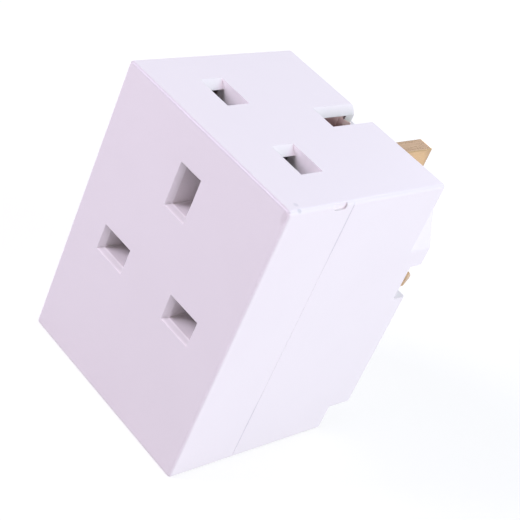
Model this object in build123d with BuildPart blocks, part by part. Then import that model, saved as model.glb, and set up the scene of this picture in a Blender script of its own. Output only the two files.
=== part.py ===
from build123d import *
import os

# Multi socket adapter: a moulded block that plugs into one outlet and gives three, on its front,
# its top and its underside, with a pull-out fuse carrier between the pins.
# Millimetres. X runs across the block, Y from the front face to the pins, Z up.
# The origin is on the table under the middle of the whole adapter.

os.makedirs("parts", exist_ok=True)

# Block
body_width = 48.7
body_height = 66.1
body_depth = 43.4  # front face to the flat back
wall = 2.4
front_wall = 2.6
corner_radius = 0.8
rim_radius = 0.6  # round the front face
rear_break = 0.25  # edge break round the flat back
seam_break = 0.1  # each side of the shallow groove along the joint on the two flanks
lap_length = 2.0  # tongue of the rear housing inside the front cover
lap_thickness = 1.1
fit_clearance = 0.1

# Pins, the same for the plug behind and for what the outlets take
blade_pitch = 22.2  # line to neutral
earth_pitch = 22.2  # earth to the row of line and neutral
blade_width = 6.35
blade_thickness = 3.97
blade_length = 17.0
earth_thickness = 3.97
earth_height = 7.92
earth_length = 22.0
pin_nose = 0.9  # thickness left at the end of a pin
pin_nose_length = 1.8
pin_nose_inset = 0.5  # at each narrow side of the nose
pin_break = 0.2  # along the corners of a pin
flange_margin = 0.7  # the flange around a pin's root
flange_thickness = 1.5
tenon = 2.0  # square end of a pin, riveted over its strip
tenon_head = 2.8
tenon_head_depth = 0.6
sleeve_length = 9.5
sleeve_wall = 0.6

# Outlets
earth_drop = 13.7  # top face down to the earth axis of the front outlet
outlet_setback = 13.9  # front face back to the blade row of the top and bottom outlets
slot_clearance = 0.6
lead_in = 0.8
lead_in_depth = 1.2
end_lead_in = 1.5  # slope at one end of each slot in the top and the underside
end_lead_in_depth = 1.6
plain_lead_in = 0.4  # on the other sides of those slots
slot_lip = 1.7  # what is left of the wall over the pockets of those slots
slot_pocket = 1.5  # how far a pocket runs under the slope of its blade slot
slot_relief = 0.8  # behind a blade in those slots, back to the joint
shroud_wall = 1.2
shroud_depth = 8.0
earth_notch = 4.0  # how far the open earth slots run down the back wall

# Plug base behind the block
plug_drop = 14.15  # top face down to the earth pin's axis
base_depth = 6.3
base_end_gap = 6.6
base_wall = 2.6
base_break = 0.35  # edge break round the face of the base
shoulder_drop = 16.6
shoulder_inset = 4.8
shoulder_radius = 1.5
pin_boss_wall = 1.4
pin_boss_length = 2.6
partition = 1.3  # rib between the top earth pocket and the fuse
partition_gap = 1.2  # below the tip of an earth pin in the top outlet
partition_setback = 1.2  # behind the neutral bar

# Fuse channel, carrier and fuse
channel_drop = 25.3  # top face down to the middle of the channel
channel_width = 8.6
channel_depth = 3.75
channel_floor = 2.0
channel_wall = 1.6
window_length = 28.4
ledge = 2.3  # what the carrier's head rests on at each end of the window
carrier_sink = 0.6
carrier_grip_width = 8.0
carrier_grip_drop = 3.2
fuse_diameter = 6.35
fuse_length = 25.4
fuse_setback = 6.5  # face of the plug base down to the fuse's axis
cap_length = 5.8
cap_wall = 0.35
tube_clearance = 0.05
stop_width = 6.0  # walls of the carrier at the fuse's two ends
carrier_end_slope = 0.8

# Metalwork, folded from one gauge of strip
strip = 0.8
bend_radius = 0.6
bar_width = 5.5
earth_bar_width = 6.0
line_bar_depth = 20.2  # front face of the block to the front face of each bar
earth_bar_depth = 24.4
neutral_bar_depth = 29.0
bar_end_depth = 20.6  # top or bottom face to the ends of the line and neutral bars
cross_width = 4.5
leg_gap = 0.5  # line bar's leg to the front neutral jaw
jaw_gap = 3.6
jaw_width = 5.5
earth_jaw_width = 7.0
jaw_mouth = 9.5  # outlet face to the mouth of a jaw
jaw_flare = 0.9
jaw_flare_length = 2.0
jaw_base = 18.3  # outlet face to the middle of the strip across a jaw's root
jaw_tail_end = 25.0
jaw_rivet_depth = 22.8
earth_jaw_height = 8.0
riser_gap = 0.15  # side of an open earth slot to the strip that stands beside it
riser_room = 0.5  # round that strip in its pocket
riser_top_gap = 0.15
riser_bend_drop = 6.5  # outlet face to where the strip stands upright
clip_width = 4.5
clip_end_gap = 0.3
clip_arm = 1.4  # how far the arms reach past the fuse's axis
clip_tail_drop = 1.5
clip_tail_length = 5.0
clip_rivet_drop = 4.2
supply_strip = 2.7
neutral_lug_height = 4.5
rivet_shank = 1.8  # square, so that no joint turns
rivet_head_radius = 1.6
rivet_head = 0.6
rivet_end = 2.5  # side of the end that is pressed square
rivet_end_depth = 0.5
rivet_clearance = 0.05

# Screws that hold the two halves together
screw_height = 22.5
screw_radius = 1.1
screw_length = 14.0
screw_head_radius = 2.1
screw_head = 1.5
screw_recess = 19.7  # face of the plug base down to the screw's seat
recess_clearance = 0.3
screw_floor = 3.0
boss_wall = 0.9
front_boss = 4.2  # side of the front cover's square bosses
screw_tip_room = 1.0
screw_slot_width = 0.8
screw_slot_depth = 0.9

# Small nick at the top of the flank, beside the joint
nick_length = 3.5
nick_height = 1.4
nick_depth = 0.45
nick_gap = 1.95

# Places worked out from the sizes
slot_width = blade_width + slot_clearance
slot_thickness = blade_thickness + slot_clearance
earth_slot_width = earth_thickness + slot_clearance
earth_slot_height = earth_height + slot_clearance
seam_depth = outlet_setback + slot_thickness / 2 + slot_relief
face_depth = body_depth + base_depth
front_y = -(face_depth + earth_length) / 2
earth_z = body_height - earth_drop
blade_z = earth_z - earth_pitch
plug_earth_z = body_height - plug_drop
plug_blade_z = plug_earth_z - earth_pitch
fuse_z = body_height - channel_drop
middle_z = body_height / 2
blade_x = blade_pitch / 2
boss_end = face_depth - base_wall - pin_boss_length
lug_back = boss_end - flange_thickness
fuse_depth = face_depth - fuse_setback
screw_seat = face_depth - screw_recess
boss_joint = screw_seat - screw_floor
screw_spread = body_width - 2 * (wall + fit_clearance) - front_boss
screw_places = ((screw_spread / 2, screw_height), (-screw_spread / 2, screw_height))
clip_x = fuse_length / 2 - clip_end_gap - clip_width / 2
leaf_offset = (jaw_gap + strip) / 2
lug_depth = lug_back - strip / 2
clip_half = fuse_diameter / 2 + fit_clearance + strip / 2
clip_root = fuse_depth - clip_half
supply_top = fuse_z - channel_width / 2 - 2 * fit_clearance
earth_row_depth = outlet_setback + earth_pitch
earth_slot_front = earth_row_depth - earth_slot_height / 2
riser_x = earth_slot_width / 2 + riser_gap + strip / 2
earth_jaw_root = earth_bar_depth + 1.5 * strip
low_earth_rivet_z = jaw_mouth + earth_jaw_height / 2
high_rivet_z = body_height - jaw_rivet_depth
foot_z = 2 * jaw_base - jaw_rivet_depth
clip_rivet_z = fuse_z - clip_rivet_drop
backwards = (0, 1, 0)


def upright(depth):
    """Plane across the block at a depth behind its front face: local x is X and local y is Z."""
    return Plane((0, front_y + depth, 0), x_dir=(1, 0, 0), z_dir=(0, -1, 0))


def level(height):
    """Plane flat over the block at a height: local x is X and local y is the depth behind the front face."""
    return Plane((0, front_y, height), x_dir=(1, 0, 0), z_dir=(0, 0, 1))


# Each outlet's plane looks out of its face, with its origin on the blade row, line at +x and earth at +y
front_outlet = Plane((0, front_y, blade_z), x_dir=(1, 0, 0), z_dir=(0, -1, 0))
top_outlet = Plane((0, front_y + outlet_setback, body_height), x_dir=(1, 0, 0), z_dir=(0, 0, 1))
bottom_outlet = Plane((0, front_y + outlet_setback, 0), x_dir=(-1, 0, 0), z_dir=(0, 0, -1))
end_outlets = (top_outlet, bottom_outlet)
blade_places = ((blade_x, 0), (-blade_x, 0))
earth_place = (0, earth_pitch)


def keep(piece, name):
    """Name a finished piece and write its file."""
    piece.label = name
    export_step(piece, f"parts/{name}.step")


def groove_seam():
    """Cut one half's side of the shallow groove along the joint, on both flanks of the piece being made."""
    side = seam_break * 2**0.5
    for flank in (1, -1):
        with Locations(Location((flank * body_width / 2, front_y + seam_depth, middle_z), (0, 0, 45))):
            Box(side, side, body_height - 2 * corner_radius, mode=Mode.SUBTRACT)


# Front cover: the front wall and the walls back to the joint, with the blade slots of the ends
with BuildPart() as front_cover:
    with BuildSketch(upright(0)):
        with Locations((0, middle_z)):
            RectangleRounded(body_width, body_height, corner_radius)
    extrude(amount=seam_depth, dir=backwards)
    fillet(front_cover.faces().sort_by(Axis.Y)[0].edges(), rim_radius)
    groove_seam()
    with BuildSketch(upright(front_wall)):
        with Locations((0, middle_z)):
            Rectangle(body_width - 2 * wall, body_height - 2 * wall)
    extrude(amount=seam_depth - front_wall, dir=backwards, mode=Mode.SUBTRACT)
    # Rebates for the rear housing's tongues
    with BuildSketch(upright(seam_depth - lap_length)):
        with Locations((0, middle_z)):
            Rectangle(
                body_width - 2 * (wall - lap_thickness - fit_clearance),
                body_height - 2 * (wall + shroud_depth) + 2 * fit_clearance,
            )
    extrude(amount=lap_length, dir=backwards, mode=Mode.SUBTRACT)
    # Shrouds behind the front slots, and screw bosses
    with BuildSketch(front_outlet):
        with Locations(*blade_places):
            Rectangle(slot_width + 2 * shroud_wall, slot_thickness + 2 * shroud_wall)
        with Locations(earth_place):
            Rectangle(earth_slot_width + 2 * shroud_wall, earth_slot_height + 2 * shroud_wall)
    extrude(amount=shroud_depth, dir=backwards)
    with BuildSketch(upright(front_wall / 2)):
        with Locations(*screw_places):
            Rectangle(front_boss, front_boss)
    extrude(amount=boss_joint - front_wall / 2, dir=backwards)
    with BuildSketch(upright(boss_joint)):
        with Locations(*screw_places):
            Circle(screw_radius + fit_clearance / 2)
    extrude(amount=screw_floor - screw_length - screw_tip_room, dir=backwards, mode=Mode.SUBTRACT)
    # Front slots with their lead-ins
    with BuildSketch(front_outlet):
        with Locations(*blade_places):
            Rectangle(slot_width, slot_thickness)
        with Locations(earth_place):
            Rectangle(earth_slot_width, earth_slot_height)
    extrude(amount=-shroud_depth, mode=Mode.SUBTRACT)
    for place, width, height in (
        (blade_places[0], slot_width, slot_thickness),
        (blade_places[1], slot_width, slot_thickness),
        (earth_place, earth_slot_width, earth_slot_height),
    ):
        with BuildSketch(front_outlet):
            with Locations(place):
                Rectangle(width + 2 * lead_in, height + 2 * lead_in)
        with BuildSketch(front_outlet.offset(-lead_in_depth)):
            with Locations(place):
                Rectangle(width, height)
        loft(ruled=True, mode=Mode.SUBTRACT)
    # Blade slots of the ends, open to the joint, each with a slope at one end and a pocket under the slope
    end_slot_depth = slot_thickness + slot_relief
    for outlet in end_outlets:
        for x, _ in blade_places:
            with BuildSketch(outlet):
                with Locations((x, -slot_thickness / 2)):
                    Rectangle(slot_width, end_slot_depth, align=(Align.CENTER, Align.MIN))
            extrude(amount=-wall, mode=Mode.SUBTRACT)
            with BuildSketch(outlet.offset(-slot_lip)):
                with Locations((x, -slot_thickness / 2)):
                    Rectangle(slot_width / 2 + slot_pocket, end_slot_depth, align=(Align.MAX, Align.MIN))
            extrude(amount=slot_lip - wall, mode=Mode.SUBTRACT)
            with BuildSketch(outlet):
                with Locations((x + slot_width / 2 + plain_lead_in, -slot_thickness / 2 - plain_lead_in)):
                    Rectangle(
                        slot_width + end_lead_in + plain_lead_in,
                        end_slot_depth + plain_lead_in,
                        align=(Align.MAX, Align.MIN),
                    )
            with BuildSketch(outlet.offset(-end_lead_in_depth)):
                with Locations((x, -slot_thickness / 2)):
                    Rectangle(slot_width, end_slot_depth, align=(Align.CENTER, Align.MIN))
            loft(ruled=True, mode=Mode.SUBTRACT)
    # Nick at the top of the right flank
    with BuildSketch(Plane((body_width / 2, front_y, 0), x_dir=(0, 1, 0), z_dir=(1, 0, 0))):
        with Locations((seam_depth - nick_gap - nick_length / 2, body_height)):
            RectangleRounded(nick_length, 2 * nick_height, nick_height / 2)
    extrude(amount=-nick_depth, mode=Mode.SUBTRACT)
keep(front_cover.part, "front_cover")

# Rear housing: the walls behind the joint, the back wall and the hollow plug base
with BuildPart() as rear_housing:
    with BuildSketch(upright(seam_depth)):
        with Locations((0, middle_z)):
            RectangleRounded(body_width, body_height, corner_radius)
    extrude(amount=body_depth - seam_depth, dir=backwards)
    chamfer(rear_housing.faces().sort_by(Axis.Y)[-1].edges(), rear_break)
    groove_seam()
    # Plug base, full width below its sloping shoulders
    with BuildSketch(upright(body_depth - wall)) as base_outline:
        with BuildLine():
            Polyline(
                (-body_width / 2, base_end_gap),
                (body_width / 2, base_end_gap),
                (body_width / 2, body_height - shoulder_drop),
                (body_width / 2 - shoulder_inset, body_height - base_end_gap),
                (shoulder_inset - body_width / 2, body_height - base_end_gap),
                (-body_width / 2, body_height - shoulder_drop),
                close=True,
            )
        make_face()
        fillet(base_outline.vertices().sort_by(Axis.Y)[2:], shoulder_radius)
    extrude(amount=base_depth + wall, dir=backwards)
    chamfer(rear_housing.faces().sort_by(Axis.Y)[-1].edges(), base_break)
    # Hollow of the block, then the hollow of the base above and below the fuse channel
    with BuildSketch(upright(seam_depth)):
        with Locations((0, middle_z)):
            Rectangle(body_width - 2 * wall, body_height - 2 * wall)
    extrude(amount=body_depth - wall - seam_depth, dir=backwards, mode=Mode.SUBTRACT)
    with BuildSketch(upright(body_depth - wall)):
        add(offset(base_outline.sketch_local, amount=-wall, mode=Mode.PRIVATE))
    extrude(amount=face_depth - base_wall - body_depth + wall, dir=backwards, mode=Mode.SUBTRACT)
    with BuildSketch(upright(face_depth - channel_depth - channel_floor)):
        with Locations((0, fuse_z)):
            Rectangle(body_width - 2 * wall, channel_width + 2 * channel_wall)
    extrude(amount=channel_depth + channel_floor - base_wall, dir=backwards)
    # Tongues that lap inside the front cover's flanks
    with BuildSketch(upright(seam_depth - lap_length + fit_clearance)):
        tongue_x = body_width / 2 - wall + lap_thickness / 2
        with Locations((tongue_x, middle_z), (-tongue_x, middle_z)):
            Rectangle(lap_thickness, body_height - 2 * (wall + shroud_depth))
    extrude(amount=lap_length - fit_clearance, dir=backwards)
    # Ribs behind the blade slots of the ends
    for outlet in end_outlets:
        with BuildSketch(outlet):
            with Locations(*[(x, slot_thickness / 2 + slot_relief) for x, _ in blade_places]):
                Rectangle(slot_width + 2 * shroud_wall, shroud_wall, align=(Align.CENTER, Align.MIN))
        extrude(amount=-shroud_depth)
    # Rib across the block under the top earth pocket
    partition_front = neutral_bar_depth + strip + partition_setback
    with BuildSketch(level(body_height - earth_length - partition_gap)):
        with Locations((0, partition_front)):
            Rectangle(
                body_width - wall,
                clip_root - strip / 2 - fit_clearance - partition_front,
                align=(Align.CENTER, Align.MIN),
            )
    extrude(amount=-partition)
    # Pin bosses inside the base, and square screw pillars from the base to the front cover's bosses
    with BuildSketch(upright(boss_end)):
        with Locations((blade_x, plug_blade_z), (-blade_x, plug_blade_z)):
            Rectangle(blade_width + 2 * pin_boss_wall, blade_thickness + 2 * pin_boss_wall)
        with Locations((0, plug_earth_z)):
            Rectangle(earth_thickness + 2 * pin_boss_wall, earth_height + 2 * pin_boss_wall)
    extrude(amount=pin_boss_length, dir=backwards)
    recess_radius = screw_head_radius + recess_clearance
    pillar = 2 * (recess_radius + boss_wall)
    with BuildSketch(upright(boss_joint)):
        with Locations(*screw_places):
            Rectangle(pillar, pillar)
    extrude(amount=face_depth - base_wall - boss_joint, dir=backwards)
    with BuildSketch(upright(screw_seat)):
        with Locations(*screw_places):
            Circle(recess_radius)
    extrude(amount=screw_recess, dir=backwards, mode=Mode.SUBTRACT)
    with BuildSketch(upright(boss_joint)):
        with Locations(*screw_places):
            Circle(screw_radius + 2 * fit_clearance)
    extrude(amount=screw_floor, dir=backwards, mode=Mode.SUBTRACT)
    # Pin holes, fuse channel and the window in its floor
    with BuildSketch(upright(boss_end)):
        with Locations((blade_x, plug_blade_z), (-blade_x, plug_blade_z)):
            Rectangle(blade_width + fit_clearance, blade_thickness + fit_clearance)
        with Locations((0, plug_earth_z)):
            Rectangle(earth_thickness + fit_clearance, earth_height + fit_clearance)
    extrude(amount=face_depth - boss_end, dir=backwards, mode=Mode.SUBTRACT)
    with BuildSketch(upright(face_depth - channel_depth)):
        with Locations((0, fuse_z)):
            Rectangle(body_width, channel_width)
    extrude(amount=channel_depth, dir=backwards, mode=Mode.SUBTRACT)
    with BuildSketch(upright(face_depth - channel_depth - channel_floor)):
        with Locations((0, fuse_z)):
            Rectangle(window_length, channel_width)
    extrude(amount=channel_floor, dir=backwards, mode=Mode.SUBTRACT)
    # Earth slots, open through the back edge, each with one sloping side and a pocket for the risers
    notch_front = earth_slot_front - outlet_setback
    notch_length = body_depth - earth_slot_front + plain_lead_in
    for outlet in end_outlets:
        with BuildSketch(outlet.offset(-slot_lip)):
            with Locations((0, body_depth - wall - outlet_setback)):
                Rectangle(
                    2 * (riser_x + strip / 2 + riser_room),
                    body_depth - wall - earth_slot_front + riser_room,
                    align=(Align.CENTER, Align.MAX),
                )
        extrude(amount=slot_lip - wall, mode=Mode.SUBTRACT)
        with BuildSketch(outlet):
            with Locations((0, notch_front)):
                Rectangle(earth_slot_width, notch_length, align=(Align.CENTER, Align.MIN))
        extrude(amount=-earth_notch, mode=Mode.SUBTRACT)
        with BuildSketch(outlet):
            with Locations((earth_slot_width / 2 + plain_lead_in, notch_front - plain_lead_in)):
                Rectangle(
                    earth_slot_width + end_lead_in + plain_lead_in,
                    notch_length + plain_lead_in,
                    align=(Align.MAX, Align.MIN),
                )
        with BuildSketch(outlet.offset(-end_lead_in_depth)):
            with Locations((0, notch_front)):
                Rectangle(earth_slot_width, notch_length, align=(Align.CENTER, Align.MIN))
        loft(ruled=True, mode=Mode.SUBTRACT)
keep(rear_housing.part, "rear_housing")


def plug_pin(name, x, z, width, height, length, sleeved):
    """Make a plug pin: bevelled blade, flange against its boss, and a tenon riveted over a strip."""
    with BuildPart() as pin:
        with BuildSketch(upright(boss_end)) as section:
            with Locations((x, z)):
                Rectangle(width, height)
            chamfer(section.vertices(), pin_break)
        extrude(amount=face_depth + length - boss_end, dir=backwards)
        inset_x, inset_z = (width - pin_nose) / 2, pin_nose_inset
        if width > height:
            inset_x, inset_z = pin_nose_inset, (height - pin_nose) / 2
        nose_y = front_y + face_depth + length - pin_nose_length
        for side in (1, -1):
            flank = Plane((x + side * width / 2, nose_y, z), z_dir=(side * pin_nose_length, inset_x, 0))
            split(bisect_by=flank, keep=Keep.BOTTOM)
            ridge = Plane((x, nose_y, z + side * height / 2), z_dir=(0, inset_z, side * pin_nose_length))
            split(bisect_by=ridge, keep=Keep.BOTTOM)
        with BuildSketch(upright(lug_back)):
            with Locations((x, z)):
                Rectangle(width + 2 * flange_margin, height + 2 * flange_margin)
        extrude(amount=flange_thickness, dir=backwards)
        with BuildSketch(upright(lug_back)):
            with Locations((x, z)):
                Rectangle(tenon, tenon)
        extrude(amount=-strip, dir=backwards)
        with BuildSketch(upright(lug_back - strip)):
            with Locations((x, z)):
                Rectangle(tenon_head, tenon_head)
        extrude(amount=-tenon_head_depth, dir=backwards)
        if sleeved:
            with BuildSketch(upright(face_depth - base_wall)):
                with Locations((x, z)):
                    Rectangle(width, height)
                    Rectangle(width - 2 * sleeve_wall, height - 2 * sleeve_wall, mode=Mode.SUBTRACT)
            extrude(amount=base_wall + sleeve_length, dir=backwards, mode=Mode.SUBTRACT)
    keep(pin.part, name)


plug_pin("earth_pin", 0, plug_earth_z, earth_thickness, earth_height, earth_length, sleeved=False)
plug_pin("line_pin", blade_x, plug_blade_z, blade_width, blade_thickness, blade_length, sleeved=True)
plug_pin("neutral_pin", -blade_x, plug_blade_z, blade_width, blade_thickness, blade_length, sleeved=True)

# Insulating sleeves, flush with the line and neutral blades
for sleeve_name, sleeve_x in (("line_pin_sleeve", blade_x), ("neutral_pin_sleeve", -blade_x)):
    with BuildPart() as sleeve:
        with BuildSketch(upright(face_depth - base_wall)):
            with Locations((sleeve_x, plug_blade_z)):
                Rectangle(blade_width, blade_thickness)
                Rectangle(
                    blade_width - 2 * sleeve_wall,
                    blade_thickness - 2 * sleeve_wall,
                    mode=Mode.SUBTRACT,
                )
        extrude(amount=base_wall + sleeve_length, dir=backwards)
    keep(sleeve.part, sleeve_name)


def rivet_hole(x, depth, z, shank=rivet_shank):
    """Cut a square hole through one thickness of strip, front to back, in the piece being made."""
    side = shank + 2 * rivet_clearance
    with Locations((x, front_y + depth, z)):
        Box(side, 3 * strip, side, mode=Mode.SUBTRACT)


def front_fork(name, profile, bar_depth, width, x, z):
    """Make a jaw of the front outlet: two flared leaves and a root that lies on its bar."""
    root = bar_depth - strip / 2
    with BuildPart() as jaw:
        with BuildSketch(profile):
            with BuildLine():
                FilletPolyline(
                    (-leaf_offset - jaw_flare, -jaw_mouth),
                    (-leaf_offset, -jaw_mouth - jaw_flare_length),
                    (-leaf_offset, -root),
                    (leaf_offset, -root),
                    (leaf_offset, -jaw_mouth - jaw_flare_length),
                    (leaf_offset + jaw_flare, -jaw_mouth),
                    radius=bend_radius,
                )
            trace(line_width=strip)
        extrude(amount=width / 2, both=True)
        rivet_hole(x, root, z)
    keep(jaw.part, name)


def end_jaw(name, outlet, side, bar_depth, fold=1):
    """Make a blade jaw of the top or bottom outlet, with a tail along the bar behind it.

    The tail runs on into the block, or back towards the outlet's face where fold is -1.
    """
    place = outlet.from_local_coords((side * blade_x, 0, 0))
    tail = bar_depth - outlet_setback - strip / 2
    tail_end = jaw_base + fold * (jaw_tail_end - jaw_base)
    rivet_depth = jaw_base + fold * (jaw_rivet_depth - jaw_base)
    with BuildPart() as jaw:
        with BuildSketch(Plane(place, x_dir=outlet.y_dir, z_dir=outlet.x_dir)):
            with BuildLine():
                FilletPolyline(
                    (-leaf_offset - jaw_flare, -jaw_mouth),
                    (-leaf_offset, -jaw_mouth - jaw_flare_length),
                    (-leaf_offset, -jaw_base),
                    (tail, -jaw_base),
                    (tail, -tail_end),
                    radius=bend_radius,
                )
            trace(line_width=strip)
            with BuildLine():
                FilletPolyline(
                    (leaf_offset + jaw_flare, -jaw_mouth),
                    (leaf_offset, -jaw_mouth - jaw_flare_length),
                    (leaf_offset, -jaw_base),
                    radius=bend_radius,
                )
            trace(line_width=strip)
        extrude(amount=jaw_width / 2, both=True)
        rivet = outlet.from_local_coords((side * blade_x, tail, -rivet_depth))
        rivet_hole(rivet.X, bar_depth - strip / 2, rivet.Z)
    keep(jaw.part, name)


for pole, side, bar_depth, fold in (("line", 1, line_bar_depth, -1), ("neutral", -1, neutral_bar_depth, 1)):
    slot = front_outlet.from_local_coords((side * blade_x, 0, 0))
    leaves = Plane(slot, x_dir=front_outlet.y_dir, z_dir=front_outlet.x_dir)
    front_fork(f"front_{pole}_jaw", leaves, bar_depth, jaw_width, side * blade_x, blade_z)
    end_jaw(f"top_{pole}_jaw", top_outlet, side, bar_depth)
    end_jaw(f"bottom_{pole}_jaw", bottom_outlet, side, bar_depth, fold)

earth_slot = front_outlet.from_local_coords((0, earth_pitch, 0))
earth_leaves = Plane(earth_slot, x_dir=front_outlet.x_dir, z_dir=-front_outlet.y_dir)
front_fork("front_earth_jaw", earth_leaves, earth_bar_depth, earth_jaw_width, 0, earth_z)


def earth_risers(outlet):
    """Make the two strips that stand on the leaves of an end earth jaw, up beside its open slot."""
    front = outlet.from_local_coords((0, earth_pitch - earth_slot_height / 2, 0))
    with BuildPart() as risers:
        with BuildSketch(Plane(front, x_dir=outlet.x_dir, z_dir=-outlet.y_dir)):
            for side in (1, -1):
                with BuildLine():
                    FilletPolyline(
                        (side * leaf_offset, -jaw_mouth - strip),
                        (side * leaf_offset, -jaw_mouth),
                        (side * riser_x, -riser_bend_drop),
                        (side * riser_x, -slot_lip - riser_top_gap),
                        radius=bend_radius,
                    )
                trace(line_width=strip)
        extrude(amount=earth_slot_height, dir=backwards)
    return risers.part


top_risers = earth_risers(top_outlet)
bottom_risers = earth_risers(bottom_outlet)

# Top earth jaw: one strip from the earth bar, round behind the slot over the earth pin's rivet end
with BuildPart() as top_earth_jaw:
    with BuildSketch(level(body_height - jaw_mouth - earth_jaw_height)):
        with BuildLine():
            FilletPolyline(
                (-leaf_offset, earth_slot_front),
                (-leaf_offset, lug_depth),
                (leaf_offset, lug_depth),
                (leaf_offset, earth_jaw_root),
                (-earth_bar_width / 2, earth_jaw_root),
                radius=bend_radius,
            )
        trace(line_width=strip)
    extrude(amount=earth_jaw_height)
    add(top_risers)
    rivet_hole(0, earth_jaw_root, earth_z)
    rivet_hole(0, lug_depth, plug_earth_z, tenon)
keep(top_earth_jaw.part, "top_earth_jaw")

# Bottom earth jaw: a plain fork riveted to the back of the earth bar
with BuildPart() as bottom_earth_jaw:
    with BuildSketch(level(jaw_mouth)):
        with BuildLine():
            FilletPolyline(
                (-leaf_offset, earth_row_depth + earth_slot_height / 2),
                (-leaf_offset, earth_jaw_root),
                (leaf_offset, earth_jaw_root),
                (leaf_offset, earth_row_depth + earth_slot_height / 2),
                radius=bend_radius,
            )
        trace(line_width=strip)
    extrude(amount=earth_jaw_height)
    add(bottom_risers)
    rivet_hole(0, earth_jaw_root, low_earth_rivet_z)
keep(bottom_earth_jaw.part, "bottom_earth_jaw")

# Earth bar: a straight strip up the middle
with BuildPart() as earth_bar:
    with BuildSketch(upright(earth_bar_depth)):
        with Locations((0, middle_z)):
            Rectangle(earth_bar_width, body_height - 2 * jaw_mouth)
    extrude(amount=strip, dir=backwards)
    for rivet_z in (earth_z, low_earth_rivet_z):
        rivet_hole(0, earth_bar_depth + strip / 2, rivet_z)
keep(earth_bar.part, "earth_bar")

# Line bar: up one side, across below, and down a leg inside the front neutral jaw to the bottom line jaw
leg_edge = blade_x - jaw_width / 2 - leg_gap
with BuildPart() as line_bar:
    with BuildSketch(upright(line_bar_depth)):
        with Locations((blade_x, middle_z)):
            Rectangle(bar_width, body_height - 2 * bar_end_depth)
        with Locations((-leg_edge, bar_end_depth)):
            Rectangle(leg_edge + blade_x + bar_width / 2, cross_width, align=(Align.MIN, Align.MIN))
        with Locations((-leg_edge, foot_z - cross_width / 2)):
            Rectangle(
                cross_width,
                bar_end_depth + 1.5 * cross_width - foot_z,
                align=(Align.MIN, Align.MIN),
            )
        with Locations((cross_width - leg_edge, foot_z)):
            Rectangle(
                cross_width - leg_edge + blade_x + bar_width / 2,
                cross_width,
                align=(Align.MAX, Align.CENTER),
            )
    extrude(amount=strip, dir=backwards)
    for rivet_x, rivet_z in (
        (blade_x, blade_z),
        (blade_x, high_rivet_z),
        (-blade_x, foot_z),
        (clip_x, clip_rivet_z),
    ):
        rivet_hole(rivet_x, line_bar_depth + strip / 2, rivet_z)
keep(line_bar.part, "line_bar")

# Neutral bar: up the other side and straight across below, with an arm folded back to the neutral pin
with BuildPart() as neutral_bar:
    with BuildSketch(upright(neutral_bar_depth)):
        with Locations((-blade_x, middle_z)):
            Rectangle(bar_width, body_height - 2 * bar_end_depth)
        with Locations((0, bar_end_depth + cross_width / 2)):
            Rectangle(blade_pitch + bar_width, cross_width)
    extrude(amount=strip, dir=backwards)
    with BuildSketch(level(plug_blade_z - neutral_lug_height / 2)):
        arm_x = bar_width / 2 - blade_x
        with BuildLine():
            FilletPolyline(
                (-blade_x, neutral_bar_depth + strip / 2),
                (arm_x, neutral_bar_depth + strip / 2),
                (arm_x, lug_depth),
                (-blade_x - bar_width / 2, lug_depth),
                radius=bend_radius,
            )
        trace(line_width=strip)
    extrude(amount=neutral_lug_height)
    for rivet_x, rivet_z in ((-blade_x, blade_z), (-blade_x, high_rivet_z), (blade_x, jaw_rivet_depth)):
        rivet_hole(rivet_x, neutral_bar_depth + strip / 2, rivet_z)
    rivet_hole(-blade_x, lug_depth, plug_blade_z, tenon)
keep(neutral_bar.part, "neutral_bar")

# Fuse clips: the supply clip crosses over from the line pin, the outlet clip runs forward to the line bar
with BuildPart() as fuse_supply_clip:
    with BuildSketch(Plane((-clip_x, front_y, 0), x_dir=(0, 1, 0), z_dir=(1, 0, 0))):
        with BuildLine():
            FilletPolyline(
                (fuse_depth + clip_arm, fuse_z - clip_half),
                (clip_root, fuse_z - clip_half),
                (clip_root, fuse_z + clip_half),
                (fuse_depth + clip_arm, fuse_z + clip_half),
                radius=bend_radius,
            )
        trace(line_width=strip)
    extrude(amount=clip_width / 2, both=True)
    with BuildSketch(upright(lug_back)):
        with Locations((-clip_x, supply_top - supply_strip)):
            Rectangle(
                clip_width,
                fuse_z - clip_half - supply_top + supply_strip,
                align=(Align.CENTER, Align.MIN),
            )
        with Locations((-clip_x - clip_width / 2, supply_top)):
            Rectangle(
                clip_x + clip_width / 2 + blade_x + bar_width / 2,
                supply_strip,
                align=(Align.MIN, Align.MAX),
            )
        with Locations((blade_x, plug_blade_z - bar_width / 2)):
            Rectangle(
                bar_width,
                supply_top - plug_blade_z + bar_width / 2,
                align=(Align.CENTER, Align.MIN),
            )
    extrude(amount=-strip, dir=backwards)
    rivet_hole(blade_x, lug_depth, plug_blade_z, tenon)
keep(fuse_supply_clip.part, "fuse_supply_clip")

with BuildPart() as fuse_outlet_clip:
    with BuildSketch(Plane((clip_x, front_y, 0), x_dir=(0, 1, 0), z_dir=(1, 0, 0))):
        with BuildLine():
            FilletPolyline(
                (fuse_depth + clip_arm, fuse_z - clip_half),
                (clip_root, fuse_z - clip_half),
                (clip_root, fuse_z + clip_half),
                (fuse_depth + clip_arm, fuse_z + clip_half),
                radius=bend_radius,
            )
        trace(line_width=strip)
        with BuildLine():
            FilletPolyline(
                (clip_root, fuse_z - clip_tail_drop),
                (line_bar_depth + 1.5 * strip, fuse_z - clip_tail_drop),
                (line_bar_depth + 1.5 * strip, fuse_z - clip_tail_drop - clip_tail_length),
                radius=bend_radius,
            )
        trace(line_width=strip)
    extrude(amount=clip_width / 2, both=True)
    rivet_hole(clip_x, line_bar_depth + 1.5 * strip, clip_rivet_z)
keep(fuse_outlet_clip.part, "fuse_outlet_clip")

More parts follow.
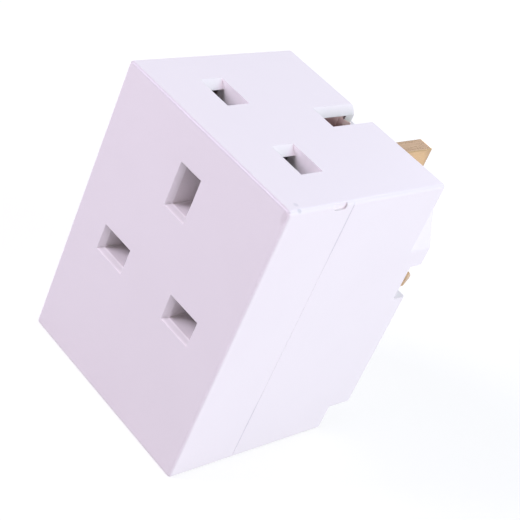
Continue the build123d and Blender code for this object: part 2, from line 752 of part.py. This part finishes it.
# Rivets through the bars: x, z, and the depths of the two faces that each one clamps
line_faces = (line_bar_depth - strip, line_bar_depth + strip)
neutral_faces = (neutral_bar_depth - strip, neutral_bar_depth + strip)
behind_line = (line_bar_depth, line_bar_depth + 2 * strip)
with BuildPart() as contact_rivets:
    for rivet_x, rivet_z, (near, far) in (
        (blade_x, blade_z, line_faces),
        (blade_x, high_rivet_z, line_faces),
        (-blade_x, foot_z, line_faces),
        (clip_x, clip_rivet_z, behind_line),
        (-blade_x, blade_z, neutral_faces),
        (-blade_x, high_rivet_z, neutral_faces),
        (blade_x, jaw_rivet_depth, neutral_faces),
        (0, earth_z, (earth_bar_depth - strip, earth_bar_depth + 2 * strip)),
        (0, low_earth_rivet_z, (earth_bar_depth, earth_bar_depth + 2 * strip)),
    ):
        with BuildSketch(upright(near)):
            with Locations((rivet_x, rivet_z)):
                Circle(rivet_head_radius)
        extrude(amount=-rivet_head, dir=backwards)
        for side, start, length in ((rivet_shank, near, far - near), (rivet_end, far, rivet_end_depth)):
            with BuildSketch(upright(start)):
                with Locations((rivet_x, rivet_z)):
                    Rectangle(side, side)
            extrude(amount=length, dir=backwards)
keep(contact_rivets.part, "contact_rivets")

# Fuse carrier: a bar that closes the channel, with two cheeks round the fuse and a stop at each end of it
carrier_seat = face_depth - channel_depth + fit_clearance
carrier_width = channel_width - 2 * fit_clearance
with BuildPart() as fuse_carrier:
    with BuildSketch(upright(carrier_seat)):
        with Locations((0, fuse_z)):
            Rectangle(window_length + 2 * ledge, carrier_width)
    extrude(amount=face_depth - carrier_sink - carrier_seat, dir=backwards)
    chamfer(fuse_carrier.faces().sort_by(Axis.Y)[-1].edges().filter_by(Axis.Z), carrier_end_slope)
    with BuildSketch(upright(carrier_seat)):
        with Locations((0, fuse_z)):
            Rectangle(carrier_grip_width, carrier_width)
    extrude(amount=-carrier_grip_drop, dir=backwards)
    stop_length = (window_length - fuse_length) / 2 - 2 * fit_clearance
    stop_x = fuse_length / 2 + fit_clearance + stop_length / 2
    with BuildSketch(upright(carrier_seat)):
        with Locations((stop_x, fuse_z), (-stop_x, fuse_z)):
            Rectangle(stop_length, stop_width)
    extrude(amount=fuse_depth - carrier_seat, dir=backwards)
    with BuildSketch(Plane((0, front_y, 0), x_dir=(0, 1, 0), z_dir=(1, 0, 0))):
        with Locations((fuse_depth, fuse_z)):
            Circle(fuse_diameter / 2 + fit_clearance / 2)
    extrude(amount=fuse_length / 2 + fit_clearance, both=True, mode=Mode.SUBTRACT)
keep(fuse_carrier.part, "fuse_carrier")

# Cartridge fuse: a ceramic tube in two end caps
with BuildPart() as fuse_tube:
    with BuildSketch(Plane((0, front_y, 0), x_dir=(0, 1, 0), z_dir=(1, 0, 0))):
        with Locations((fuse_depth, fuse_z)):
            Circle(fuse_diameter / 2 - cap_wall - tube_clearance)
    extrude(amount=fuse_length / 2 - cap_wall, both=True)
keep(fuse_tube.part, "fuse_tube")

with BuildPart() as fuse_end_caps:
    for end in (1, -1):
        end_plane = Plane((end * fuse_length / 2, front_y, 0), x_dir=(0, 1, 0), z_dir=(1, 0, 0))
        with BuildSketch(end_plane):
            with Locations((fuse_depth, fuse_z)):
                Circle(fuse_diameter / 2)
        extrude(amount=-end * cap_length)
        with BuildSketch(end_plane.offset(-end * cap_wall)):
            with Locations((fuse_depth, fuse_z)):
                Circle(fuse_diameter / 2 - cap_wall)
        extrude(amount=end * (cap_wall - cap_length), mode=Mode.SUBTRACT)
keep(fuse_end_caps.part, "fuse_end_caps")

# Slotted screws, seated deep in the plug base
with BuildPart() as housing_screws:
    with BuildSketch(upright(screw_seat)):
        with Locations(*screw_places):
            Circle(screw_head_radius)
    extrude(amount=screw_head, dir=backwards)
    with BuildSketch(upright(screw_seat)):
        with Locations(*screw_places):
            Circle(screw_radius)
    extrude(amount=-screw_length, dir=backwards)
    with BuildSketch(upright(screw_seat + screw_head - screw_slot_depth)):
        with Locations(*screw_places):
            Rectangle(2 * screw_head_radius, screw_slot_width)
    extrude(amount=screw_slot_depth, dir=backwards, mode=Mode.SUBTRACT)
keep(housing_screws.part, "housing_screws")
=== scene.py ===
"""Finishes, studio and camera of a plug-in socket adapter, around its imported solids. Metres throughout."""

import logging
import math
from dataclasses import dataclass, field
from enum import Enum
from typing import Any, Callable

import bmesh
import bpy
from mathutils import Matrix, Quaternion, Vector

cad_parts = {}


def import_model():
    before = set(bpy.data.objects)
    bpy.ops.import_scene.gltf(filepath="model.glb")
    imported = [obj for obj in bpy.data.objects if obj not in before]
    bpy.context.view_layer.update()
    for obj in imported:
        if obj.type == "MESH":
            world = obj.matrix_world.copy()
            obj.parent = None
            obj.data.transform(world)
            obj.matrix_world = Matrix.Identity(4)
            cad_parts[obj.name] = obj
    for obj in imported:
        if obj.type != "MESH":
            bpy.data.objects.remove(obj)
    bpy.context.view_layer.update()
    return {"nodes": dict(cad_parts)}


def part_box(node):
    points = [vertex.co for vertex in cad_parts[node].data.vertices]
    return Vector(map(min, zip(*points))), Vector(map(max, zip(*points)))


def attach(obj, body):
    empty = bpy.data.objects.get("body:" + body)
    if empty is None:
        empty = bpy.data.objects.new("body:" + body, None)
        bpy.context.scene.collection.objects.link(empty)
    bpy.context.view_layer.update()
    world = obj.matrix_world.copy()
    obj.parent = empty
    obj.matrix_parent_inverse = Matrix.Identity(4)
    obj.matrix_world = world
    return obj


log = logging.getLogger("adapter")

Triple = tuple[float, float, float]
Pair = tuple[float, float]
Nodes = dict[str, bpy.types.Object]

MM = 0.001
WHITE: Triple = (1.0, 1.0, 1.0)
ADAPTER_MIDDLE: Triple = (0.0, 0.0, 0.03)
BLOCK_BODY = "adapter"


class Effect(Enum):
    """Surface effects that finishes share, each by the name of its node group."""

    GRAIN = "moulded_grain"
    DRAWN = "drawn_lines"
    SPOT = "soft_spot"


class Run(Enum):
    """Way that the drawn or rolled lines of a metal run, as how tightly the lines pack along X, Y and Z."""

    BACKWARDS = (2600.0, 90.0, 2600.0)
    UPWARDS = (2600.0, 2600.0, 90.0)
    ACROSS = (90.0, 2600.0, 2600.0)


@dataclass
class Wiring:
    """A shader node tree that is being wired."""

    tree: bpy.types.NodeTree

    def add(self, kind: str, inputs: dict[str | int, Any] | None = None, **settings: Any) -> bpy.types.Node:
        """Adds a node, sets it up and fills its inputs.

        Args:
            kind: Type of the node, without the prefix that all shader nodes share.
            inputs: Name or number of a socket, with its value or the socket that feeds it.
            settings: Attributes of the node.

        Returns:
            The new node.
        """
        node = self.tree.nodes.new("ShaderNode" + kind)
        for name, value in settings.items():
            setattr(node, name, value)
        for key, value in (inputs or {}).items():
            self.feed(node.inputs[key], value)
        return node

    def feed(self, socket: bpy.types.NodeSocket, value: Any) -> None:
        """Gives an input its value, or links it to the socket that feeds it.

        Args:
            socket: The input.
            value: Its value, of three numbers where it is a colour, or the socket that feeds it.
        """
        if isinstance(value, bpy.types.NodeSocket):
            self.tree.links.new(value, socket)
        else:
            socket.default_value = (*value, 1.0) if socket.type == "RGBA" else value

    def math(self, operation: str, *values: Any) -> bpy.types.NodeSocket:
        """Gives the result of a maths node on one or two values or sockets."""
        return self.add("Math", dict(enumerate(values)), operation=operation).outputs[0]

    def vector(self, operation: str, *values: Any) -> bpy.types.Node:
        """Gives a vector maths node on one or two vectors or sockets."""
        return self.add("VectorMath", dict(enumerate(values)), operation=operation)

    def ramp(self, value: Any, start: Any, end: Any, low: Any = 0.0, high: Any = 1.0) -> bpy.types.NodeSocket:
        """Carries a value smoothly from one range to another.

        Args:
            value: Socket that is carried over.
            start: Value that gives low.
            end: Value that gives high.
            low: Result at start.
            high: Result at end.

        Returns:
            The socket with the result.
        """
        inputs = {"Value": value, "From Min": start, "From Max": end, "To Min": low, "To Max": high}
        return self.add("MapRange", inputs, interpolation_type="SMOOTHSTEP").outputs["Result"]

    def blend(self, share: Any, first: Any, second: Any) -> bpy.types.NodeSocket:
        """Mixes two colours.

        Args:
            share: Share of the second colour.
            first: First colour, or the socket that gives it.
            second: Second colour, or the socket that gives it.

        Returns:
            The socket with the mixed colour.
        """
        return self.add("Mix", {0: share, 6: first, 7: second}, data_type="RGBA").outputs[2]

    def effect(self, effect: Effect, **inputs: Any) -> bpy.types.Node:
        """Places a shared effect.

        Args:
            effect: The effect.
            inputs: Name of an input, in small letters with underscores, with its value or socket.

        Returns:
            The node of the effect.
        """
        node = self.add("Group", node_tree=effect_group(effect))
        for name, value in inputs.items():
            self.feed(node.inputs[name.replace("_", " ").title()], value)
        return node


def effect_group(effect: Effect) -> bpy.types.NodeTree:
    """Finds a shared effect's node group, and builds it the first time.

    Args:
        effect: The effect that is wanted.

    Returns:
        Its node group.
    """
    group = bpy.data.node_groups.get(effect.value)
    if group is None:
        group = bpy.data.node_groups.new(effect.value, "ShaderNodeTree")
        EFFECT_BUILDERS[effect](Wiring(group))
    return group


def open_group(wires: Wiring, inputs: dict[str, str], outputs: tuple[str, ...]) -> tuple[Any, Any]:
    """Gives a node group its sockets.

    Args:
        wires: The group being wired.
        inputs: Name of each input, with its kind: Vector or Float.
        outputs: Names of the outputs, which are all numbers.

    Returns:
        The outputs of the group's input node, and the inputs of its output node.
    """
    for name, kind in inputs.items():
        wires.tree.interface.new_socket(name, in_out="INPUT", socket_type="NodeSocket" + kind)
    for name in outputs:
        wires.tree.interface.new_socket(name, in_out="OUTPUT", socket_type="NodeSocketFloat")
    given = wires.tree.nodes.new("NodeGroupInput")
    wanted = wires.tree.nodes.new("NodeGroupOutput")
    return given.outputs, wanted.inputs


def build_grain(wires: Wiring) -> None:
    """Wires the fine skin of a moulding, and the broad patches where its tone drifts.

    Args:
        wires: The group being wired.
    """
    given, wanted = open_group(
        wires, {"Vector": "Vector", "Scale": "Float", "Patch Scale": "Float"}, ("Height", "Patch")
    )
    skin = wires.add("TexNoise", {"Vector": given["Vector"], "Scale": given["Scale"], "Detail": 3.0})
    patch = wires.add("TexNoise", {"Vector": given["Vector"], "Scale": given["Patch Scale"], "Detail": 2.0})
    wires.tree.links.new(skin.outputs["Fac"], wanted["Height"])
    wires.tree.links.new(wires.ramp(patch.outputs["Fac"], 0.3, 0.7), wanted["Patch"])


def build_drawn(wires: Wiring) -> None:
    """Wires the lines that drawing or rolling leaves in a metal, and the patches where it has dulled.

    Args:
        wires: The group being wired.
    """
    given, wanted = open_group(
        wires, {"Vector": "Vector", "Packing": "Vector", "Patch Scale": "Float"}, ("Lines", "Tarnish")
    )
    packed = wires.vector("MULTIPLY", given["Vector"], given["Packing"]).outputs[0]
    lines = wires.add("TexNoise", {"Vector": packed, "Scale": 1.0, "Detail": 3.0})
    patch = wires.add("TexNoise", {"Vector": given["Vector"], "Scale": given["Patch Scale"], "Detail": 3.0})
    wires.tree.links.new(lines.outputs["Fac"], wanted["Lines"])
    wires.tree.links.new(wires.ramp(patch.outputs["Fac"], 0.35, 0.7), wanted["Tarnish"])


def build_spot(wires: Wiring) -> None:
    """Wires a soft-edged spot: 1 at its centre and 0 at its reach along each axis.

    Args:
        wires: The group being wired.
    """
    given, wanted = open_group(wires, {"Vector": "Vector", "Centre": "Vector", "Reach": "Vector"}, ("Mask",))
    offset = wires.vector("SUBTRACT", given["Vector"], given["Centre"]).outputs[0]
    shares = wires.vector("DIVIDE", offset, given["Reach"]).outputs[0]
    distance = wires.vector("LENGTH", shares).outputs["Value"]
    wires.tree.links.new(wires.ramp(distance, 0.35, 1.0, 1.0, 0.0), wanted["Mask"])


EFFECT_BUILDERS: dict[Effect, Callable[[Wiring], None]] = {
    Effect.GRAIN: build_grain,
    Effect.DRAWN: build_drawn,
    Effect.SPOT: build_spot,
}


@dataclass
class Surface:
    """A material that is being wired round its Principled shader."""

    name: str
    material: bpy.types.Material = field(init=False)
    wires: Wiring = field(init=False)
    shader: bpy.types.Node = field(init=False)

    def __post_init__(self) -> None:
        """Starts the material."""
        self.material = bpy.data.materials.new(self.name)
        self.material.use_nodes = True
        self.wires = Wiring(self.material.node_tree)
        self.shader = self.wires.tree.nodes["Principled BSDF"]

    def complete(self, colour: Any, rough: Any, height: Any, depth: float) -> bpy.types.Material:
        """Joins what was wired to the shader.

        Args:
            colour: Socket of the base colour.
            rough: Socket of the roughness.
            height: Socket of the relief, from 0 to 1.
            depth: How deep the relief is.

        Returns:
            The finished material.
        """
        bump = self.wires.add("Bump", {"Strength": 1.0, "Distance": depth, "Height": height})
        joins = {"Base Color": colour, "Roughness": rough, "Normal": bump.outputs["Normal"]}
        for name, socket in joins.items():
            self.wires.feed(self.shader.inputs[name], socket)
        return self.material


@dataclass(frozen=True)
class Mark:
    """A small soft mark on a surface."""

    centre: Triple
    reach: Triple
    colour: Triple
    strength: float


@dataclass(frozen=True)
class Moulding:
    """Finish of a moulded or fired piece: plastic, or the fuse's ceramic."""

    name: str
    colour: Triple
    drift: Triple
    roughness: Pair
    grain_scale: float = 2200.0
    grain_height: float = 0.012 * MM
    patch_scale: float = 55.0
    marks: tuple[Mark, ...] = ()

    def material(self) -> bpy.types.Material:
        """Builds the finish.

        Returns:
            Its material.
        """
        surface = Surface(self.name)
        wires = surface.wires
        place = wires.add("TexCoord").outputs["Object"]
        grain = wires.effect(Effect.GRAIN, vector=place, scale=self.grain_scale, patch_scale=self.patch_scale)
        colour = wires.blend(grain.outputs["Patch"], self.colour, self.drift)
        for mark in self.marks:
            spot = wires.effect(Effect.SPOT, vector=place, centre=mark.centre, reach=mark.reach)
            share = wires.math("MULTIPLY", spot.outputs["Mask"], mark.strength)
            colour = wires.blend(share, colour, mark.colour)
        rough = wires.ramp(grain.outputs["Patch"], 0.0, 1.0, *self.roughness)
        return surface.complete(colour, rough, grain.outputs["Height"], self.grain_height)


@dataclass(frozen=True)
class Metal:
    """Finish of drawn, rolled or plated metal, which can carry painted shade on its upward faces."""

    name: str
    colour: Triple
    tarnish_and_shade: Triple
    roughness: Pair
    run: Run
    line_height: float = 0.006 * MM
    patch_scale: float = 160.0
    # Share of painted shade on faces that look up.
    painted_top_shade: float = 0.0
    top_shade_range: Pair = (0.4, 0.9)
    line_range: Pair = (0.3, 0.7)

    def material(self) -> bpy.types.Material:
        """Builds the finish.

        Returns:
            Its material.
        """
        surface = Surface(self.name)
        wires = surface.wires
        surface.shader.inputs["Metallic"].default_value = 1.0
        texture = wires.add("TexCoord").outputs
        drawn = wires.effect(
            Effect.DRAWN, vector=texture["Object"], packing=self.run.value, patch_scale=self.patch_scale
        )
        upward = wires.add("SeparateXYZ", {0: texture["Normal"]}).outputs["Z"]
        # Painted shade: the more a face looks up, the more it takes the dull colour.
        shade_on_top = wires.ramp(upward, *self.top_shade_range, 0.0, self.painted_top_shade)
        dull_and_top_shade = wires.math("MAXIMUM", drawn.outputs["Tarnish"], shade_on_top)
        colour = wires.blend(dull_and_top_shade, self.colour, self.tarnish_and_shade)
        rough = wires.ramp(drawn.outputs["Lines"], *self.line_range, *self.roughness)
        return surface.complete(colour, rough, drawn.outputs["Lines"], self.line_height)


def dress(nodes: Nodes, names: tuple[str, ...], material: bpy.types.Material) -> None:
    """Gives a finish to solids of the frame.

    Args:
        nodes: The frame's solids by name.
        names: The solids that take the finish.
        material: The finish.
    """
    for name in names:
        for slot in nodes[name].material_slots:
            slot.material = material
        log.info("%s: %s", name, material.name)


def place_mesh(name: str, shape: bmesh.types.BMesh, material: bpy.types.Material) -> bpy.types.Object:
    """Turns a finished shape into an object of the scene, and frees the shape.

    Args:
        name: Name of the object.
        shape: The shape.
        material: Its finish.

    Returns:
        The new object.
    """
    mesh = bpy.data.meshes.new(name)
    shape.to_mesh(mesh)
    shape.free()
    mesh.materials.append(material)
    piece = bpy.data.objects.new(name, mesh)
    bpy.context.scene.collection.objects.link(piece)
    log.info("%s: %s", name, material.name)
    return piece


@dataclass
class Housing:
    """The two moulded halves of the block."""

    nodes: Nodes
    white: Triple = (0.85, 0.81, 0.81)
    white_drift: Triple = (0.84, 0.80, 0.80)
    white_sheen: Pair = (0.34, 0.42)
    speck_grey: Triple = (0.50, 0.50, 0.53)
    smudge_beige: Triple = (0.66, 0.60, 0.60)
    joint_grey: Triple = (0.60, 0.58, 0.62)
    # Painted shade along the front–top edge, dimming its highlight.
    edge_painted_shade: Triple = (0.65, 0.62, 0.64)
    # Painted shade on the lower lead-ins of the front slots.
    sill_painted_shade: Triple = (0.69, 0.66, 0.655)
    speck_reach: Triple = (0.7 * MM, 0.7 * MM, 0.7 * MM)
    smudge_reach: Triple = (1.0 * MM, 0.8 * MM, 0.8 * MM)
    streak_reach: Triple = (0.9 * MM, 0.6 * MM, 2.2 * MM)
    joint_depth: float = 16.985 * MM
    joint_width: Pair = (0.5 * MM, 0.3 * MM)
    joint_strength: float = 0.45
    edge_shade_inset: Pair = (0.06 * MM, 0.18 * MM)
    edge_shade_reach: Triple = (70.0 * MM, 0.5 * MM, 0.5 * MM)
    edge_shade_strength: float = 0.9
    slot_pitch: float = 22.2 * MM
    earth_drop: float = 13.7 * MM
    earth_sill: float = 4.65 * MM
    blade_sill: float = 2.68 * MM
    sill_shade_depth: float = 0.65 * MM
    sill_shade_reach: Triple = (9.0 * MM, 0.75 * MM, 0.9 * MM)

    def corner_marks(self) -> tuple[Mark, ...]:
        """Places the small marks round the front top right corner.

        Returns:
            The marks.
        """
        low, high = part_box("front_cover")
        right, front, top = high.x, low.y, high.z
        return (
            Mark((right - 1.9 * MM, front + 3.0 * MM, top), self.speck_reach, self.speck_grey, 0.35),
            Mark((right - 0.3 * MM, front + 2.6 * MM, top), self.speck_reach, self.speck_grey, 0.5),
            Mark((right - 2.2 * MM, front, top), self.smudge_reach, self.smudge_beige, 0.4),
            Mark((right - 0.9 * MM, front, top - 1.5 * MM), self.streak_reach, self.smudge_beige, 0.4),
        )

    def edge_shade_mark(self) -> Mark:
        """Places painted shade along the edge between the front and the top, which dims the highlight of that
        rounded edge.

        Returns:
            The mark.
        """
        low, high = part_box("front_cover")
        back, down = self.edge_shade_inset
        centre = (0.0, low.y + back, high.z - down)
        return Mark(centre, self.edge_shade_reach, self.edge_painted_shade, self.edge_shade_strength)

    def sill_shade_marks(self) -> tuple[Mark, ...]:
        """Places painted shade on the lower lead-ins of the front slots, which face up into the front light.

        Returns:
            The marks.
        """
        low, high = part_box("front_cover")
        half, earth = self.slot_pitch / 2, high.z - self.earth_drop
        blades = earth - self.slot_pitch - self.blade_sill
        middles = ((0.0, earth - self.earth_sill), (-half, blades), (half, blades))
        depth = low.y + self.sill_shade_depth
        return tuple(
            Mark((across, depth, height), self.sill_shade_reach, self.sill_painted_shade, 1.0) for across, height in middles
        )

    def joint_marks(self) -> tuple[Mark, ...]:
        """Places the grey of the joint between the halves, near the two ends of the right flank.

        Returns:
            The marks.
        """
        low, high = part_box("front_cover")
        place = (high.x, low.y + self.joint_depth)
        upper, lower = (high.z - 7.0 * MM, 12.0 * MM), (low.z + 9.0 * MM, 11.0 * MM)
        return tuple(
            Mark((*place, height), (*self.joint_width, length), self.joint_grey, self.joint_strength)
            for height, length in (upper, lower)
        )

    def dress(self) -> None:
        """Gives both halves their white plastic, with its marks, among them painted shade on the front–top
        edge and on the lower lead-ins of the front slots.
        """
        shared = {"colour": self.white, "drift": self.white_drift, "roughness": self.white_sheen}
        joint = self.joint_marks()
        on_front = (self.edge_shade_mark(), *self.sill_shade_marks(), *self.corner_marks(), *joint)
        front = Moulding("front_white", marks=on_front, **shared)
        rear = Moulding("rear_white", marks=joint, **shared)
        dress(self.nodes, ("front_cover",), front.material())
        dress(self.nodes, ("rear_housing",), rear.material())


@dataclass
class PlugPins:
    """The three pins of the plug and the sleeves of two of them."""

    nodes: Nodes
    brass: Triple = (0.71, 0.485, 0.275)
    # Dull colour of random tarnish, also used as painted shade on the pins' upward faces.
    dull_and_shaded_brass: Triple = (0.41, 0.275, 0.17)
    sleeve: Triple = (0.02, 0.02, 0.022)
    sleeve_drift: Triple = (0.03, 0.03, 0.032)
    brass_sheen: Pair = (0.24, 0.36)
    sleeve_sheen: Pair = (0.45, 0.55)

    def dress(self) -> None:
        """Gives the pins drawn brass, with painted shade on their upward faces, and the sleeves black
        plastic.
        """
        # Painted shade: the pins' upward faces take the full dull brass colour.
        brass = Metal("pin_brass", self.brass, self.dull_and_shaded_brass, self.brass_sheen, Run.BACKWARDS, painted_top_shade=1.0)
        sleeve = Moulding("sleeve_black", self.sleeve, self.sleeve_drift, self.sleeve_sheen)
        dress(self.nodes, ("earth_pin", "line_pin", "neutral_pin"), brass.material())
        dress(self.nodes, ("line_pin_sleeve", "neutral_pin_sleeve"), sleeve.material())


@dataclass
class EarthLeaf:
    """The thin end of an earth spring, bent on to a wall of the earth slot that is open towards the back."""

    material: bpy.types.Material
    jaw: float = 2.4 * MM
    wall: float = 2.305 * MM
    thickness: float = 0.24 * MM
    start: float = 3.4 * MM
    bend: float = 5.1 * MM
    end: float = 7.45 * MM
    foot: float = 60.6 * MM
    start_height: float = 3.65 * MM
    end_height: float = 1.9 * MM
    edge_break: float = 0.05 * MM

    def add(self, name: str, side: int) -> bpy.types.Object:
        """Builds a leaf and fixes it to the block.

        Args:
            name: Name of the leaf.
            side: 1 for the right wall of the slot, or -1 for the left one.

        Returns:
            The leaf.
        """
        outer = ((self.jaw + self.thickness, self.start), (self.wall, self.bend), (self.wall, self.end))
        outline = outer + tuple((x - self.thickness, y) for x, y in reversed(outer))
        plate = bmesh.new()
        face = plate.faces.new([plate.verts.new((side * x, y, self.foot)) for x, y in outline])
        grown = bmesh.ops.extrude_face_region(plate, geom=[face])["geom"]
        fall = (self.start_height - self.end_height) / (self.end - self.start)
        for corner in (piece for piece in grown if isinstance(piece, bmesh.types.BMVert)):
            corner.co.z += self.start_height - fall * (corner.co.y - self.start)
        edges, width = plate.edges[:], self.edge_break
        bmesh.ops.bevel(plate, geom=edges, offset=width, segments=2, profile=0.5, affect="EDGES")
        bmesh.ops.recalc_face_normals(plate, faces=plate.faces[:])
        leaf = place_mesh(name, plate, self.material)
        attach(leaf, BLOCK_BODY)
        return leaf


@dataclass
class Contacts:
    """The jaws, bars, clips and rivets inside the block."""

    nodes: Nodes
    bronze: Triple = (0.56, 0.40, 0.38)
    dull_bronze: Triple = (0.42, 0.30, 0.28)
    strip: Triple = (0.72, 0.53, 0.30)
    dull_strip: Triple = (0.58, 0.41, 0.22)
    bronze_sheen: Pair = (0.3, 0.45)
    strip_sheen: Pair = (0.28, 0.42)

    def dress(self) -> None:
        """Gives the springs bronze and the bars brass, and adds the ends of the top earth spring."""
        outlets, poles = ("front", "top", "bottom"), ("line", "neutral", "earth")
        springs = tuple(f"{outlet}_{pole}_jaw" for outlet in outlets for pole in poles)
        clips = ("fuse_supply_clip", "fuse_outlet_clip")
        spring = Metal("spring_bronze", self.bronze, self.dull_bronze, self.bronze_sheen, Run.UPWARDS)
        strip = Metal("strip_brass", self.strip, self.dull_strip, self.strip_sheen, Run.UPWARDS)
        bronze = spring.material()
        dress(self.nodes, springs + clips, bronze)
        dress(self.nodes, ("line_bar", "neutral_bar", "earth_bar", "contact_rivets"), strip.material())
        for side, word in ((1, "right"), (-1, "left")):
            EarthLeaf(bronze).add(f"top_earth_leaf_{word}", side)


@dataclass
class FuseDrawer:
    """The pull-out carrier and the cartridge fuse that it holds."""

    nodes: Nodes
    carrier: Triple = (0.85, 0.81, 0.81)
    carrier_drift: Triple = (0.83, 0.79, 0.79)
    ceramic: Triple = (0.78, 0.74, 0.66)
    ceramic_drift: Triple = (0.72, 0.68, 0.60)
    nickel: Triple = (0.72, 0.70, 0.67)
    dull_nickel: Triple = (0.62, 0.60, 0.57)
    carrier_sheen: Pair = (0.34, 0.42)
    ceramic_sheen: Pair = (0.25, 0.35)
    nickel_sheen: Pair = (0.2, 0.32)
    ceramic_patches: float = 400.0

    def dress(self) -> None:
        """Gives the carrier white plastic, and the fuse its ceramic and plated caps."""
        carrier = Moulding("carrier_white", self.carrier, self.carrier_drift, self.carrier_sheen)
        ceramic = Moulding(
            "fuse_ceramic",
            self.ceramic,
            self.ceramic_drift,
            self.ceramic_sheen,
            patch_scale=self.ceramic_patches,
        )
        nickel = Metal("cap_nickel", self.nickel, self.dull_nickel, self.nickel_sheen, Run.ACROSS)
        dress(self.nodes, ("fuse_carrier",), carrier.material())
        dress(self.nodes, ("fuse_tube",), ceramic.material())
        dress(self.nodes, ("fuse_end_caps",), nickel.material())


@dataclass
class HousingScrews:
    """The two screws that hold the halves together."""

    nodes: Nodes
    zinc: Triple = (0.60, 0.60, 0.57)
    dull_zinc: Triple = (0.47, 0.47, 0.45)
    zinc_sheen: Pair = (0.28, 0.4)

    def dress(self) -> None:
        """Gives the screws their zinc plate."""
        zinc = Metal("screw_zinc", self.zinc, self.dull_zinc, self.zinc_sheen, Run.BACKWARDS)
        dress(self.nodes, ("housing_screws",), zinc.material())


@dataclass
class Lamp:
    """A square soft lamp that faces the adapter."""

    name: str
    place: Triple
    watts: float
    colour: Triple
    aim: Triple = ADAPTER_MIDDLE
    side: float = 0.5

    def light(self) -> None:
        """Hangs the lamp."""
        data = bpy.data.lights.new(self.name, "AREA")
        data.size = self.side
        data.energy = self.watts
        data.color = self.colour
        lamp = bpy.data.objects.new(self.name, data)
        lamp.location = self.place
        lamp.rotation_mode = "QUATERNION"
        lamp.rotation_quaternion = (Vector(self.aim) - Vector(self.place)).to_track_quat("-Z", "Y")
        bpy.context.scene.collection.objects.link(lamp)


@dataclass
class Studio:
    """The floor, the soft light and the camera."""

    floor_half: float = 3.0
    floor_bounce: float = 0.35
    shadow_share: float = 0.3
    floor_glow: float = 0.75
    shadow_fade: Pair = (0.2, 0.8)
    sky: Triple = (0.204, 0.18, 0.18)
    eye: Triple = (0.14534, -0.206805, 0.18491)
    aim: Triple = (0.00157, -0.006675, 0.03201)
    roll_deg: float = 24.514
    lens_mm: float = 96.893
    clip_start: float = 0.01
    lamps: tuple[Lamp, ...] = (
        Lamp("front_lamp", (-0.50, -0.68, 0.53), 8.77, (0.882, 0.808, 1.0)),
        Lamp("right_lamp", (0.95, -0.05, 0.30), 7.67, (0.888, 0.792, 1.0)),
        Lamp("side_lamp", (0.75, 0.45, 0.45), 2.45, (0.549, 1.0, 0.826)),
        Lamp("back_lamp", (-0.10, 0.60, 0.80), 2.75, (0.62, 0.75, 1.0)),
        Lamp("pin_lamp", (-0.25, 0.95, 0.08), 3.8, (0.96, 0.93, 1.0)),
    )

    def seen(self, wires: Wiring) -> bpy.types.NodeSocket:
        """Tells where the camera looks: straight, in a reflection or through glass.

        Args:
            wires: The tree being wired.

        Returns:
            The socket with 1 there, and 0 for all other light.
        """
        path = wires.add("LightPath").outputs
        seen = wires.math("MAXIMUM", path["Is Camera Ray"], path["Is Glossy Ray"])
        return wires.math("MAXIMUM", seen, path["Is Transmission Ray"])

    def lay_floor(self) -> None:
        """Lays the pale floor, which looks white and still takes the adapter's shadow."""
        material = bpy.data.materials.new("floor_white")
        material.use_nodes = True
        wires = Wiring(material.node_tree)
        wires.tree.nodes.remove(wires.tree.nodes["Principled BSDF"])
        bounce = wires.add("BsdfDiffuse", {"Color": (self.floor_bounce,) * 3})
        shaded = wires.add("BsdfDiffuse", {"Color": (self.shadow_share,) * 3})
        distance = wires.vector("LENGTH", wires.add("TexCoord").outputs["Object"]).outputs["Value"]
        strength = wires.ramp(distance, *self.shadow_fade, self.floor_glow, 1.0)
        glow = wires.add("Emission", {"Color": WHITE, "Strength": strength})
        shown = wires.add("AddShader", {0: shaded.outputs[0], 1: glow.outputs[0]})
        both = wires.add("MixShader", {0: self.seen(wires), 1: bounce.outputs[0], 2: shown.outputs[0]})
        wires.tree.links.new(both.outputs[0], wires.tree.nodes["Material Output"].inputs["Surface"])
        grid = bmesh.new()
        bmesh.ops.create_grid(grid, x_segments=1, y_segments=1, size=self.floor_half)
        floor = place_mesh("floor", grid, material)

    def hang_sky(self) -> None:
        """Sets the even light from all round, which looks white."""
        world = bpy.data.worlds.new("sky")
        world.use_nodes = True
        wires = Wiring(world.node_tree)
        colour = wires.blend(self.seen(wires), self.sky, WHITE)
        wires.tree.links.new(colour, wires.tree.nodes["Background"].inputs["Color"])
        bpy.context.scene.world = world

    def set_camera(self) -> None:
        """Stands the camera where the photograph was taken from, rolled as it was held."""
        data = bpy.data.cameras.new("camera")
        data.lens = self.lens_mm
        data.clip_start = self.clip_start
        camera = bpy.data.objects.new("camera", data)
        gaze = Vector(self.aim) - Vector(self.eye)
        roll = Quaternion((0.0, 0.0, 1.0), math.radians(self.roll_deg))
        camera.location = self.eye
        camera.rotation_mode = "QUATERNION"
        camera.rotation_quaternion = gaze.to_track_quat("-Z", "Y") @ roll
        bpy.context.scene.collection.objects.link(camera)
        bpy.context.scene.camera = camera

    def build(self) -> None:
        """Sets up the whole studio."""
        self.lay_floor()
        self.hang_sky()
        for lamp in self.lamps:
            lamp.light()
        self.set_camera()
        bpy.context.scene.view_settings.view_transform = "Standard"


def main() -> None:
    """Loads the frame, dresses the adapter and sets up the studio."""
    logging.basicConfig(level=logging.INFO, format="%(message)s")
    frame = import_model()
    nodes = frame["nodes"]
    for assembly in (Housing, PlugPins, Contacts, FuseDrawer, HousingScrews):
        assembly(nodes).dress()
    Studio().build()


if __name__ == "__main__":
    main()
